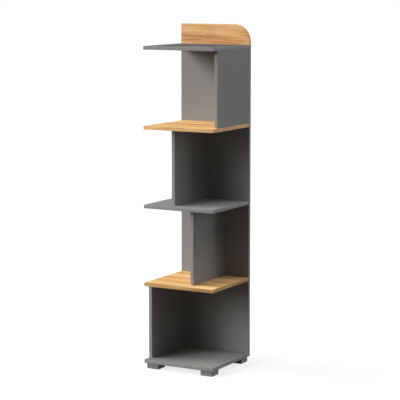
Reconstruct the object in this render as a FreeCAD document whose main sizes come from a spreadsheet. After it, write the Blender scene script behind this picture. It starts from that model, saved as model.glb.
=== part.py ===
import FreeCAD, Part
import math
import os
import re

import Sketcher

# A tall open bookcase carried by one full-height spine panel.
#
# Five square shelves butt against the front of the spine. One upright divider stands in each of the four
# bays between them: at the left end of the lowest bay, at the right end of the highest, and off the middle
# of the two others. An oak crown board with one rounded corner continues the spine above the top shelf, and
# four moulded feet carry the case.
#
# The boards are 16 mm chipboard with 1 mm edge bands. Panel screws driven from behind and wood dowels hold
# the shelves and dividers to the spine, and cam locks with wood dowels hold the dividers to the shelves.
#
# Frame: millimetres, +Z up, the open front faces -Y, the origin is on the floor under the case's middle.
# Sketches and drilling positions are measured as on a workshop drawing: from the left end, from the front
# edge and from the underside of each finished board.

SIZES = {
    # the case
    "overall_width": 350,
    "overall_depth": 350,
    "board_thickness": 16,
    "shelf_pitch": 350,
    "crown_rise": 90,
    "crown_radius": 80,
    "divider_setback": 40,
    "lower_divider_centre": 222,
    "upper_divider_centre": 128,
    # edge bands
    "band_thickness": 1,
    "band_chamfer": 0.5,
    # all bores are this much wider than what they hold, and blind ones this much deeper
    "bore_clearance": 0.2,
    "bore_spare": 1,
    # wood dowels
    "dowel_diameter": 8,
    "dowel_length": 30,
    "dowel_hold": 11,
    "shelf_dowel_inset": 100,
    "crown_dowel_hold": 15,
    "crown_dowel_inset": 125,
    "divider_dowel_inset": 190,
    # panel screws, with a countersunk head and a hexagon socket
    "screw_length": 50,
    "screw_diameter": 7,
    "screw_head_diameter": 10,
    "screw_socket_flats": 4,
    "screw_socket_depth": 3.5,
    "shelf_screw_inset": 40,
    "divider_screw_inset": 90,
    # cam locks: a bolt in the shelf, a cam in the divider and a cover over the cam
    "cam_diameter": 15,
    "cam_height": 12.5,
    "cam_backset": 34,
    "cam_inset": 45,
    "cam_floor": 0.9,
    "cam_hollow_radius": 4.6,
    "cam_hollow_height": 7.2,
    "cam_slot_width": 4.2,
    "cam_slot_angle": 235,
    "cam_entry_diameter": 7.4,
    "cam_drive_length": 8.6,
    "cam_drive_width": 1.8,
    "cam_drive_depth": 3,
    "bolt_thread_diameter": 5,
    "bolt_thread_length": 10,
    "bolt_sleeve_diameter": 6.4,
    "bolt_neck_diameter": 3.6,
    "bolt_head_diameter": 6.8,
    "bolt_head_rim": 1.2,
    "cover_diameter": 17,
    "cover_thickness": 1.2,
    "cover_chamfer": 0.6,
    "cover_key_height": 2.5,
    "cover_key_slack": 0.3,
    # flat steel plates let into the back: two join the crown to the spine, one ties the case to a wall
    "plate_thickness": 2,
    "joining_plate_length": 60,
    "joining_plate_width": 20,
    "joining_plate_inset": 65,
    "joining_screw_offset": 18,
    "hanger_length": 50,
    "hanger_width": 18,
    "hanger_drop": 110,
    "hanger_screw_spacing": 37,
    "keyhole_entry_diameter": 10,
    "keyhole_slot_width": 5,
    "keyhole_travel": 11,
    "keyhole_pocket_width": 13,
    "keyhole_pocket_depth": 10,
    "plate_screw_length": 12,
    "plate_screw_head_diameter": 6.6,
    "plate_screw_diameter": 3.4,
    # moulded feet, hollow from below, with crossed ribs and two screw bosses
    "foot_height": 25,
    "foot_width": 60,
    "foot_inset": 8,
    "foot_wall": 3,
    "foot_top": 4,
    "foot_round": 3,
    "foot_chamfer": 0.8,
    "foot_rib_thickness": 2,
    "foot_rib_recess": 1.5,
    "foot_boss_width": 13,
    "foot_boss_offset": 14,
    "foot_screw_grip": 8,
    "foot_screw_length": 20,
    "foot_screw_diameter": 4,
    "foot_screw_head_diameter": 8,
    "foot_screw_head_height": 2.6,
}

# The shelves from the floor up, and the divider that stands on each but the last: its name, where the
# middle of its thickness is, and the face that its cam locks are in.
SHELVES = ["bottom_shelf", "lower_oak_shelf", "middle_shelf", "upper_oak_shelf", "top_shelf"]
DIVIDERS = [
    ("bottom_divider", "board_thickness / 2", "right"),
    ("lower_divider", "lower_divider_centre", "left"),
    ("upper_divider", "upper_divider_centre", "left"),
    ("top_divider", "overall_width - board_thickness / 2", "left"),
]

RIGHT = FreeCAD.Vector(1, 0, 0)
BACK = FreeCAD.Vector(0, 1, 0)
UP = FreeCAD.Vector(0, 0, 1)
LEFT, FRONT, DOWN = -RIGHT, -BACK, -UP

doc = FreeCAD.newDocument("spine_bookshelf")
sheet = doc.addObject("Spreadsheet::Sheet", "Sizes")
for row, (alias, number) in enumerate(SIZES.items(), start=1):
    sheet.set(f"A{row}", alias.replace("_", " "))
    sheet.set(f"B{row}", str(number))
    sheet.setAlias(f"B{row}", alias)
doc.recompute()

nodes = []


# ---- the sheet ----

def formula(text):
    """The text as an expression, with each of the sheet's words made a reference to its cell."""
    return re.sub(r"[a-z]+(?:_[a-z]+)+", lambda word: "Sizes." + word.group(0), str(text))


def number_of(text):
    """What a formula comes to with the sheet's present sizes."""
    return float(sheet.evalExpression(formula(text)))


def point_at(across, along, up):
    """A point of the case, measured from its left end, its front edge and the floor."""
    return FreeCAD.Vector(number_of(across), number_of(along), number_of(up))


def bind(item, size, text):
    """Ties one size of a document object to a formula of the sheet."""
    item.setExpression(size, formula(text))


# ---- sketches ----

def new_sketch(body, name, plane, offset="0"):
    """An empty sketch parallel to one of the body's own origin planes."""
    sketch = body.newObject("Sketcher::SketchObject", name)
    support = next(feature for feature in body.Origin.OriginFeatures if feature.Role == plane)
    sketch.AttachmentSupport = [(support, "")]
    sketch.MapMode = "FlatFace"
    bind(sketch, "AttachmentOffset.Base.z", offset)
    return sketch


def pin_point(sketch, shape, vertex, place):
    """Ties one point of a sketch shape to its two formulas, measured from the sketch's origin."""
    for kind, text in zip(("DistanceX", "DistanceY"), place):
        rule = sketch.addConstraint(Sketcher.Constraint(kind, -1, 1, shape, vertex, number_of(text)))
        sketch.setExpression(f"Constraints[{rule}]", formula(text))


def pin_size(sketch, kind, shape, text):
    """Ties the radius or diameter of a sketch shape to a formula."""
    rule = sketch.addConstraint(Sketcher.Constraint(kind, shape, number_of(text)))
    sketch.setExpression(f"Constraints[{rule}]", formula(text))


def sketch_point(place):
    """The present position of a pair of formulas on its sketch."""
    return FreeCAD.Vector(number_of(place[0]), number_of(place[1]), 0)


def draw_outline(sketch, corners):
    """A closed outline of straight sides, whose corners are pairs of formulas."""
    sides = [sketch.addGeometry(Part.LineSegment(sketch_point(start), sketch_point(end)), False)
             for start, end in zip(corners, corners[1:] + corners[:1])]
    for before, side, corner in zip([sides[-1]] + sides, sides, corners):
        sketch.addConstraint(Sketcher.Constraint("Coincident", before, 2, side, 1))
        pin_point(sketch, side, 1, corner)


def draw_rectangle(sketch, low, high):
    """A rectangle between two opposite corners."""
    draw_outline(sketch, [low, (high[0], low[1]), high, (low[0], high[1])])


def draw_circles(sketch, centres, diameter):
    """Circles of one diameter around each of the centres."""
    for centre in centres:
        ring = sketch.addGeometry(Part.Circle(sketch_point(centre), UP, number_of(diameter) / 2), False)
        pin_size(sketch, "Diameter", ring, diameter)
        pin_point(sketch, ring, 3, centre)


def draw_arc(sketch, middle, radius, start_turn, end_turn):
    """An arc between two directions, given in turns from the sketch's own X axis."""
    circle = Part.Circle(sketch_point(middle), UP, number_of(radius))
    return sketch.addGeometry(Part.ArcOfCircle(circle, start_turn * math.tau, end_turn * math.tau), False)


def draw_upright_slot(sketch, centre, length, width):
    """A slot with round ends, standing upright on the sketch: two arcs joined by two tangent sides."""
    across, along = centre
    radius = f"({width}) / 2"
    low = (across, f"{along} - (({length}) / 2 - {radius})")
    high = (across, f"{along} + (({length}) / 2 - {radius})")
    side = FreeCAD.Vector(number_of(radius), 0, 0)
    upper = draw_arc(sketch, high, radius, 0, 0.5)
    left = sketch.addGeometry(Part.LineSegment(sketch_point(high) - side, sketch_point(low) - side), False)
    lower = draw_arc(sketch, low, radius, 0.5, 1)
    right = sketch.addGeometry(Part.LineSegment(sketch_point(low) + side, sketch_point(high) + side), False)
    for shape, neighbour in ((upper, left), (left, lower), (lower, right), (right, upper)):
        sketch.addConstraint(Sketcher.Constraint("Tangent", shape, 2, neighbour, 1))
    for arc, middle in ((upper, high), (lower, low)):
        pin_point(sketch, arc, 3, middle)
        pin_size(sketch, "Radius", arc, radius)


# ---- features ----

def new_body(name):
    return doc.addObject("PartDesign::Body", name)


def pad_sketch(body, sketch, height, reverse=False):
    """Raises a sketch into a solid; reverse sends it against the sketch's normal."""
    pad = body.newObject("PartDesign::Pad", sketch.Name + "_pad")
    pad.Profile = sketch
    pad.Reversed = reverse
    bind(pad, "Length", height)
    doc.recompute()
    return pad


def pocket_sketch(body, sketch, depth, reverse):
    """Cuts a sketch into the body and makes sure that the cut met the solid."""
    volume_before = body.Shape.Volume
    pocket = body.newObject("PartDesign::Pocket", sketch.Name + "_pocket")
    pocket.Profile = sketch
    pocket.Reversed = reverse
    bind(pocket, "Length", depth)
    doc.recompute()
    swept = pocket.AddSubShape.Volume
    removed = volume_before - body.Shape.Volume
    if not 0.4 * swept < removed < 1.01 * swept:
        raise RuntimeError(f"{pocket.Name} removes {removed:.0f} of {swept:.0f} mm3")
    return pocket


def revolve_sketch(body, sketch, kind="PartDesign::Revolution", angle="360"):
    """Turns a sketch of the XZ plane about the body's own Z axis, to add to it or to groove it."""
    turn = body.newObject(kind, sketch.Name + "_turn")
    turn.Profile = sketch
    turn.ReferenceAxis = (sketch, ["V_Axis"])
    bind(turn, "Angle", angle)
    doc.recompute()
    return turn


def dress_edges(body, kind, size, text, wanted):
    """Rounds or chamfers those edges of the body's last feature that the test accepts."""
    base = body.Tip
    chosen = [f"Edge{number}" for number, edge in enumerate(base.Shape.Edges, start=1) if wanted(edge)]
    dressing = body.newObject(kind, base.Name + "_dressed")
    dressing.Base = (base, chosen)
    bind(dressing, size, text)
    doc.recompute()
    return dressing


def quarter_turn_copy(body, feature):
    """Repeats a feature once, a quarter turn about the body's own Z axis."""
    pattern = body.newObject("PartDesign::PolarPattern", feature.Name + "_cross")
    pattern.Originals = [feature]
    pattern.Axis = (feature.Profile[0], ["N_Axis"])
    pattern.Angle = 90
    pattern.Occurrences = 2
    body.Tip = pattern
    doc.recompute()
    return pattern


# Each face of a board that can be drilled: the plane of its sketch, how far the sketch lies from that
# plane, and whether a pocket has to be reversed to run into the wood.
DRILLING = {
    "top": ("XY_Plane", "{height}", False),
    "underside": ("XY_Plane", "0", True),
    "front": ("XZ_Plane", "0", False),
    "rear": ("XZ_Plane", "-({depth})", True),
    "left": ("YZ_Plane", "0", True),
    "right": ("YZ_Plane", "{width}", False),
}


class Board:
    """A board known by its finished sizes, edge bands included, to be sawn out and drilled."""

    def __init__(self, name, width, depth, height):
        self.size = {"width": width, "depth": depth, "height": height}
        self.body = new_body(name)

    def saw(self, *banded):
        """Makes the board a plain rectangle, smaller by a band on each side that is named."""
        band = {side: "band_thickness" if side in banded else "0" for side in ("left", "right", "front")}
        outline = new_sketch(self.body, self.body.Name + "_outline", "XY_Plane")
        far_corner = (f"{self.size['width']} - {band['right']}", self.size["depth"])
        draw_rectangle(outline, (band["left"], band["front"]), far_corner)
        pad_sketch(self.body, outline, self.size["height"])

    def sketch_on(self, face, name):
        """A sketch on one finished face, and whether a pocket from it is reversed."""
        plane, offset, reverse = DRILLING[face]
        sketch = new_sketch(self.body, f"{self.body.Name}_{face}_{name}", plane, offset.format(**self.size))
        return sketch, reverse

    def drill(self, face, name, centres, diameter, depth):
        """Blind bores, straight in from one face."""
        sketch, reverse = self.sketch_on(face, name)
        draw_circles(sketch, centres, diameter)
        pocket_sketch(self.body, sketch, depth, reverse)

    def rout(self, face, name, centres, length, width, depth):
        """Upright recesses with round ends."""
        sketch, reverse = self.sketch_on(face, name)
        for centre in centres:
            draw_upright_slot(sketch, centre, length, width)
        pocket_sketch(self.body, sketch, depth, reverse)


# ---- finished nodes ----

def place_in_case(item, across, along, up):
    """Puts an object's own origin at a place of the case, with the case about the frame's origin."""
    bind(item, "Placement.Base.x", f"{across} - overall_width / 2")
    bind(item, "Placement.Base.y", f"{along} - overall_depth / 2")
    bind(item, "Placement.Base.z", up)


def turned(along, facing):
    """The turn that sends a piece's own +X along one direction and makes its +Z face another."""
    return FreeCAD.Rotation(along, facing.cross(along), facing, "XZY")


def copies_of(piece, places):
    """Linked copies of a piece, one for each position in the case and turn."""
    copies = doc.addObject("App::Link", piece.Name + "_copies")
    copies.LinkedObject = piece
    copies.ShowElement = False
    copies.ElementCount = len(places)
    copies.PlacementList = [FreeCAD.Placement(position, turn) for position, turn in places]
    return copies


def add_group(name, *groups):
    """One node of separate like solids, made of linked copies."""
    node = doc.addObject("Part::Compound", name)
    node.Links = list(groups)
    place_in_case(node, "0", "0", "0")
    nodes.append(node)


def add_board(board, across, along, up):
    """One node that is a single drilled board."""
    place_in_case(board.body, across, along, up)
    nodes.append(board.body)


# ---- where things are ----

SPINE_FRONT = "overall_depth - board_thickness"
MID_BOARD = "board_thickness / 2"
BAY_HEIGHT = "shelf_pitch - board_thickness"
DIVIDER_DEPTH = "overall_depth - board_thickness - divider_setback"
SPINE_HEIGHT = f"{len(DIVIDERS)} * shelf_pitch + board_thickness"
SPINE_TOP = f"foot_height + {SPINE_HEIGHT}"
FOOT_MIDDLE = "foot_inset + foot_width / 2"


def underside_of(level):
    """The height of a shelf's underside above the floor."""
    return f"foot_height + {level} * shelf_pitch"


def both_ends(inset, length="overall_width"):
    """The two positions that lie one inset from either end of a length."""
    return [inset, f"{length} - ({inset})"]


shelf_screw_places = both_ends("shelf_screw_inset")
shelf_dowel_places = both_ends("shelf_dowel_inset")
divider_screw_heights = both_ends("divider_screw_inset", BAY_HEIGHT)
crown_dowel_places = both_ends("crown_dowel_inset")
joining_plate_places = both_ends("joining_plate_inset")
hanger_height = f"{SPINE_HEIGHT} - hanger_drop"
foot_places = [(across, along) for along in both_ends(FOOT_MIDDLE, "overall_depth")
               for across in both_ends(FOOT_MIDDLE)]
foot_screw_places = [(f"{across} {sign} foot_boss_offset", f"{along} {sign} foot_boss_offset")
                     for across, along in foot_places for sign in "-+"]

DOWEL_BORE = "dowel_diameter + bore_clearance"
DOWEL_DEPTH = "dowel_length - dowel_hold + bore_spare"
SCREW_BORE = "screw_diameter + bore_clearance"
SCREW_DEPTH = "screw_length - board_thickness + bore_spare"
PLATE_SCREW_BORE = "plate_screw_diameter + bore_clearance"
PLATE_SCREW_DEPTH = "plate_screw_length + bore_spare"


# ---- shelves: screws and dowels in the rear edge, dividers standing on and hanging from the faces ----

def drill_for_divider(board, face, centre):
    """The bores in a shelf's face that take one end of a divider: a cam bolt and a dowel."""
    board.drill(face, "dowel", [(centre, "divider_setback + divider_dowel_inset")],
                DOWEL_BORE, "dowel_hold")
    board.drill(face, "bolt", [(centre, "divider_setback + cam_inset")],
                "bolt_thread_diameter + bore_clearance", "bolt_thread_length + bore_spare")


for level, shelf_name in enumerate(SHELVES):
    shelf = Board(shelf_name, "overall_width", SPINE_FRONT, "board_thickness")
    shelf.saw("left", "right", "front")
    shelf.drill("rear", "screws", [(across, MID_BOARD) for across in shelf_screw_places],
                SCREW_BORE, SCREW_DEPTH)
    shelf.drill("rear", "dowels", [(across, MID_BOARD) for across in shelf_dowel_places],
                DOWEL_BORE, DOWEL_DEPTH)
    if level < len(DIVIDERS):
        drill_for_divider(shelf, "top", DIVIDERS[level][1])
    if level > 0:
        drill_for_divider(shelf, "underside", DIVIDERS[level - 1][1])
    else:
        shelf.drill("underside", "foot_screws", foot_screw_places, "foot_screw_diameter + bore_clearance",
                    "foot_screw_length - foot_screw_grip + bore_spare")
    add_board(shelf, "0", "0", underside_of(level))


# ---- dividers: cam locks and dowels at both ends, screws in the rear edge ----

for level, (divider_name, centre, cam_face) in enumerate(DIVIDERS):
    divider = Board(divider_name, "board_thickness", DIVIDER_DEPTH, BAY_HEIGHT)
    divider.saw("front")
    for end in ("top", "underside"):
        divider.drill(end, "dowel", [(MID_BOARD, "divider_dowel_inset")], DOWEL_BORE, DOWEL_DEPTH)
        divider.drill(end, "bolt", [(MID_BOARD, "cam_inset")], DOWEL_BORE, "cam_backset")
    cam_heights = both_ends("cam_backset", BAY_HEIGHT)
    divider.drill(cam_face, "cams", [("cam_inset", up) for up in cam_heights],
                  "cam_diameter + bore_clearance", "cam_height")
    divider.drill("rear", "screws", [(MID_BOARD, up) for up in divider_screw_heights],
                  SCREW_BORE, SCREW_DEPTH)
    add_board(divider, f"{centre} - {MID_BOARD}", "divider_setback",
              f"{underside_of(level)} + board_thickness")


# ---- spine panel: drilled for dowels in front, countersunk and recessed for plates behind ----

def countersink_through(body, sketch, reverse, hole, head):
    """Holes right through, opened to a right-angled cone where the screw heads sit."""
    volume_before = body.Shape.Volume
    feature = body.newObject("PartDesign::Hole", sketch.Name + "_hole")
    feature.Profile = sketch
    doc.recompute()
    feature.Threaded = False
    feature.DepthType = "ThroughAll"
    feature.HoleCutType = "Countersink"
    feature.HoleCutCustomValues = True
    feature.Reversed = reverse
    feature.HoleCutCountersinkAngle = 90
    bind(feature, "Diameter", hole)
    bind(feature, "HoleCutDiameter", head)
    doc.recompute()
    if body.Shape.Volume > volume_before - 1:
        raise RuntimeError(f"{feature.Name} cuts nothing")


shelf_middles = [f"{MID_BOARD} + {level} * shelf_pitch" for level in range(len(SHELVES))]
shelf_screws = [(across, up) for up in shelf_middles for across in shelf_screw_places]
divider_screws = [(centre, f"{level} * shelf_pitch + board_thickness + {up}")
                  for level, (divider_name, centre, cam_face) in enumerate(DIVIDERS)
                  for up in divider_screw_heights]
shelf_dowels = [(across, up) for up in shelf_middles for across in shelf_dowel_places]
joining_screw_offsets = ["- joining_screw_offset", "+ joining_screw_offset"]
hanger_screw_offsets = ["- hanger_screw_spacing / 2", "+ hanger_screw_spacing / 2"]

spine = Board("spine_panel", "overall_width", "board_thickness", SPINE_HEIGHT)
spine.saw("left", "right")
spine.drill("front", "dowels", shelf_dowels, DOWEL_BORE, "dowel_hold")
spine.drill("top", "crown_dowels", [(across, MID_BOARD) for across in crown_dowel_places],
            DOWEL_BORE, "crown_dowel_hold")
spine.rout("rear", "joining_plates", [(across, SPINE_HEIGHT) for across in joining_plate_places],
           "joining_plate_length", "joining_plate_width", "plate_thickness")
spine.rout("rear", "hanger", [("overall_width / 2", hanger_height)],
           "hanger_length", "hanger_width", "plate_thickness")
spine.rout("rear", "hook_pocket", [("overall_width / 2", hanger_height)],
           "keyhole_travel + keyhole_pocket_width", "keyhole_pocket_width", "keyhole_pocket_depth")
spine_plate_screws = [(across, f"{SPINE_HEIGHT} {joining_screw_offsets[0]}")
                      for across in joining_plate_places]
spine_plate_screws += [("overall_width / 2", f"{hanger_height} {offset}")
                       for offset in hanger_screw_offsets]
spine.drill("rear", "plate_screws", spine_plate_screws, PLATE_SCREW_BORE, PLATE_SCREW_DEPTH)
panel_screw_sketch, into_wood = spine.sketch_on("rear", "panel_screws")
draw_circles(panel_screw_sketch, shelf_screws + divider_screws, SCREW_BORE)
countersink_through(spine.body, panel_screw_sketch, into_wood, SCREW_BORE, "screw_head_diameter")
add_board(spine, "0", SPINE_FRONT, "foot_height")


# ---- crown board: its upper right corner is one large arc ----

def draw_crown_outline(sketch, left, low, inset):
    """The crown's front view, its right side, arc and top drawn inwards by an inset."""
    right, top, radius = f"overall_width - {inset}", f"crown_rise - {inset}", f"crown_radius - {inset}"
    arc_middle = (f"{right} - ({radius})", f"{top} - ({radius})")
    arc_low, arc_top = (right, arc_middle[1]), (arc_middle[0], top)
    corners = [sketch_point(place) for place in ((left, low), (right, low), arc_low, arc_top, (left, top))]
    sketch.addGeometry(Part.LineSegment(corners[0], corners[1]), False)
    sketch.addGeometry(Part.LineSegment(corners[1], corners[2]), False)
    draw_arc(sketch, arc_middle, radius, 0, 0.25)
    sketch.addGeometry(Part.LineSegment(corners[3], corners[4]), False)
    sketch.addGeometry(Part.LineSegment(corners[4], corners[0]), False)
    for side, joint in enumerate(("Coincident", "Tangent", "Tangent", "Coincident", "Coincident")):
        sketch.addConstraint(Sketcher.Constraint(joint, side, 2, (side + 1) % len(corners), 1))
    sketch.addConstraint(Sketcher.Constraint("Vertical", 1))
    sketch.addConstraint(Sketcher.Constraint("Horizontal", 3))
    pin_point(sketch, 0, 1, (left, low))
    pin_point(sketch, 0, 2, (right, low))
    pin_point(sketch, 3, 2, (left, top))
    pin_size(sketch, "Radius", 2, radius)


crown = Board("crown_board", "overall_width", "board_thickness", "crown_rise")
crown_outline = new_sketch(crown.body, "crown_outline", "XZ_Plane")
draw_crown_outline(crown_outline, "band_thickness", "0", "band_thickness")
pad_sketch(crown.body, crown_outline, "board_thickness", reverse=True)
crown.drill("underside", "dowels", [(across, MID_BOARD) for across in crown_dowel_places],
            DOWEL_BORE, "dowel_length - crown_dowel_hold + bore_spare")
crown.rout("rear", "joining_plates", [(across, "0") for across in joining_plate_places],
           "joining_plate_length", "joining_plate_width", "plate_thickness")
crown.drill("rear", "plate_screws", [(across, "joining_screw_offset") for across in joining_plate_places],
            PLATE_SCREW_BORE, PLATE_SCREW_DEPTH)
add_board(crown, "0", SPINE_FRONT, SPINE_TOP)


# ---- edge bands: glued strips with their outer edges eased ----

def new_strip(name, length, ease_ends=False):
    """A straight strip along +X with its outer face at y = 0; its ends are eased only where they show."""
    body = new_body(name)
    outline = new_sketch(body, name + "_outline", "XY_Plane")
    draw_rectangle(outline, ("0", "0"), (length, "band_thickness"))
    pad_sketch(body, outline, "board_thickness")

    def on_outer_face(edge):
        start, end = (vertex.Point for vertex in edge.Vertexes)
        lengthwise = abs(start.x - end.x) > abs(start.z - end.z)
        return max(start.y, end.y) < number_of("band_thickness") / 2 and (lengthwise or ease_ends)

    dress_edges(body, "PartDesign::Chamfer", "Size", "band_chamfer", on_outer_face)
    return body


shelf_front_strip = new_strip("shelf_front_strip", "overall_width", ease_ends=True)
shelf_side_strip = new_strip("shelf_side_strip", f"{SPINE_FRONT} - band_thickness")
divider_strip = new_strip("divider_strip", BAY_HEIGHT)
spine_strip = new_strip("spine_strip", SPINE_HEIGHT)
crown_left_strip = new_strip("crown_left_strip", "crown_rise - band_thickness")

for level, shelf_name in enumerate(SHELVES):
    low = underside_of(level)
    add_group(
        shelf_name + "_edge_bands",
        copies_of(shelf_front_strip, [(point_at("0", "0", low), turned(RIGHT, UP))]),
        copies_of(shelf_side_strip, [
            (point_at("0", SPINE_FRONT, low), turned(FRONT, UP)),
            (point_at("overall_width", "band_thickness", low), turned(BACK, UP)),
        ]),
    )

for level, (divider_name, centre, cam_face) in enumerate(DIVIDERS):
    low_right = point_at(f"{centre} + {MID_BOARD}", "divider_setback",
                         f"{underside_of(level)} + board_thickness")
    add_group(divider_name + "_edge_band", copies_of(divider_strip, [(low_right, turned(UP, LEFT))]))

add_group("spine_edge_bands", copies_of(spine_strip, [
    (point_at("0", SPINE_FRONT, "foot_height"), turned(UP, BACK)),
    (point_at("overall_width", "overall_depth", "foot_height"), turned(UP, FRONT)),
]))

crown_bent_strip = new_body("crown_bent_strip")
bent_strip_outside = new_sketch(crown_bent_strip, "bent_strip_outside", "XZ_Plane")
draw_crown_outline(bent_strip_outside, "0", "0", "0")
pad_sketch(crown_bent_strip, bent_strip_outside, "board_thickness", reverse=True)
bent_strip_inside = new_sketch(crown_bent_strip, "bent_strip_inside", "XZ_Plane")
draw_crown_outline(bent_strip_inside, "-band_thickness", "-band_thickness", "band_thickness")
pocket_sketch(crown_bent_strip, bent_strip_inside, "board_thickness", reverse=False)


def on_crown_outline(edge):
    """Whether an edge of the bent strip runs along the outside of the crown's front or rear face."""
    start, end = (vertex.Point for vertex in edge.Vertexes)
    outermost = [corner.x > number_of("overall_width") - 0.01 or corner.z > number_of("crown_rise") - 0.01
                 for corner in (start, end)]
    return all(outermost) and abs(start.y - end.y) < 0.01


dress_edges(crown_bent_strip, "PartDesign::Chamfer", "Size", "band_chamfer", on_crown_outline)
add_group(
    "crown_edge_bands",
    copies_of(crown_bent_strip, [(point_at("0", SPINE_FRONT, SPINE_TOP), turned(RIGHT, UP))]),
    copies_of(crown_left_strip, [(point_at("0", SPINE_FRONT, SPINE_TOP), turned(UP, BACK))]),
)


# ---- wood dowels ----

dowel = new_body("dowel")
dowel_outline = new_sketch(dowel, "dowel_outline", "XY_Plane")
draw_circles(dowel_outline, [("0", "0")], "dowel_diameter")
pad_sketch(dowel, dowel_outline, "dowel_length")

add_group("shelf_dowels", copies_of(dowel, [
    (point_at(across, f"{SPINE_FRONT} + dowel_hold", f"foot_height + {up}"), turned(RIGHT, FRONT))
    for across, up in shelf_dowels
]))
add_group("crown_dowels", copies_of(dowel, [
    (point_at(across, f"{SPINE_FRONT} + {MID_BOARD}", f"{SPINE_TOP} - crown_dowel_hold"), turned(RIGHT, UP))
    for across in crown_dowel_places
]))


# ---- screws: threads are left plain, at their outer diameter ----

def new_screw(name, profile):
    """A screw turned from a half profile, its tip down and its head's seat at the origin."""
    body = new_body(name)
    outline = new_sketch(body, name + "_profile", "XZ_Plane")
    draw_outline(outline, profile)
    revolve_sketch(body, outline)
    return body


panel_screw = new_screw("panel_screw", [
    ("0", "0"),
    ("screw_head_diameter / 2", "0"),
    ("screw_diameter / 2", "(screw_diameter - screw_head_diameter) / 2"),
    ("screw_diameter / 2", "-screw_length"),
    ("0", "-screw_length"),
])
socket = panel_screw.newObject("PartDesign::SubtractivePrism", "hexagon_socket")
socket.Polygon = 6
bind(socket, "Circumradius", "screw_socket_flats / sqrt(3)")
bind(socket, "Height", "screw_socket_depth")
bind(socket, "AttachmentOffset.Base.z", "-screw_socket_depth")
socket.AttachmentSupport = [(panel_screw.Origin.OriginFeatures[3], "")]
socket.MapMode = "FlatFace"
doc.recompute()

for name, places in (("shelf_screws", shelf_screws), ("divider_screws", divider_screws)):
    add_group(name, copies_of(panel_screw, [
        (point_at(across, "overall_depth", f"foot_height + {up}"), turned(RIGHT, BACK))
        for across, up in places
    ]))

plate_screw = new_screw("plate_screw", [
    ("0", "0"),
    ("plate_screw_head_diameter / 2", "0"),
    ("plate_screw_diameter / 2", "(plate_screw_diameter - plate_screw_head_diameter) / 2"),
    ("plate_screw_diameter / 2", "-plate_screw_length"),
    ("0", "-plate_screw_length"),
])

foot_screw = new_screw("foot_screw", [
    ("0", "foot_screw_head_height"),
    ("foot_screw_head_diameter / 2", "foot_screw_head_height"),
    ("foot_screw_head_diameter / 2", "0"),
    ("foot_screw_diameter / 2", "0"),
    ("foot_screw_diameter / 2", "-foot_screw_length"),
    ("0", "-foot_screw_length"),
])


# ---- cam locks: a bolt screwed into a shelf is gripped by a hollow cam turned in the divider ----

cam_middle = f"cam_height - {MID_BOARD}"
BOLT_SHOULDER = "cam_backset - cam_diameter / 2 - bore_spare"
# the head's cone, at 45 degrees, touches both edges of the cam's slot on the wall of its hollow
HEAD_SEAT = "cam_backset - cam_hollow_radius - (cam_slot_width - bolt_neck_diameter) / 2"
HEAD_RIM = f"{HEAD_SEAT} + (bolt_head_diameter - bolt_neck_diameter) / 2"

cam_bolt = new_screw("cam_bolt", [
    ("0", "-bolt_thread_length"),
    ("bolt_thread_diameter / 2", "-bolt_thread_length"),
    ("bolt_thread_diameter / 2", "0"),
    ("bolt_sleeve_diameter / 2", "0"),
    ("bolt_sleeve_diameter / 2", BOLT_SHOULDER),
    ("bolt_neck_diameter / 2", BOLT_SHOULDER),
    ("bolt_neck_diameter / 2", HEAD_SEAT),
    ("bolt_head_diameter / 2", HEAD_RIM),
    ("bolt_head_diameter / 2", f"{HEAD_RIM} + bolt_head_rim"),
    ("0", f"{HEAD_RIM} + bolt_head_rim"),
])

cam = new_body("cam")
cam_outline = new_sketch(cam, "cam_outline", "XY_Plane")
draw_circles(cam_outline, [("0", "0")], "cam_diameter")
pad_sketch(cam, cam_outline, "cam_height")
hollow = new_sketch(cam, "cam_hollow", "XZ_Plane")
draw_rectangle(hollow, ("0", "cam_floor"), ("cam_hollow_radius", "cam_floor + cam_hollow_height"))
revolve_sketch(cam, hollow, "PartDesign::Groove")
entry = new_sketch(cam, "cam_entry", "YZ_Plane", "cam_hollow_radius / 2")
draw_circles(entry, [("0", cam_middle)], "cam_entry_diameter")
pocket_sketch(cam, entry, "cam_diameter / 2", reverse=True)
slot = new_sketch(cam, "cam_slot", "XZ_Plane")
draw_rectangle(slot, ("cam_hollow_radius / 2", f"{cam_middle} - cam_slot_width / 2"),
               ("cam_diameter", f"{cam_middle} + cam_slot_width / 2"))
revolve_sketch(cam, slot, "PartDesign::Groove", "cam_slot_angle")
drive = new_sketch(cam, "cam_drive", "XY_Plane", "cam_height")
draw_rectangle(drive, ("-cam_drive_length / 2", "-cam_drive_width / 2"),
               ("cam_drive_length / 2", "cam_drive_width / 2"))
quarter_turn_copy(cam, pocket_sketch(cam, drive, "cam_drive_depth", reverse=False))

cover = new_body("cover")
cover_outline = new_sketch(cover, "cover_outline", "XY_Plane")
draw_circles(cover_outline, [("0", "0")], "cover_diameter")
pad_sketch(cover, cover_outline, "cover_thickness")
dress_edges(cover, "PartDesign::Chamfer", "Size", "cover_chamfer",
            lambda edge: edge.Closed and edge.BoundBox.ZMin > number_of("cover_thickness") / 2)
key = new_sketch(cover, "cover_key", "XY_Plane")
draw_rectangle(key, ("(cover_key_slack - cam_drive_length) / 2", "(cover_key_slack - cam_drive_width) / 2"),
               ("(cam_drive_length - cover_key_slack) / 2", "(cam_drive_width - cover_key_slack) / 2"))
pad_sketch(cover, key, "cover_key_height", reverse=True)

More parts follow.
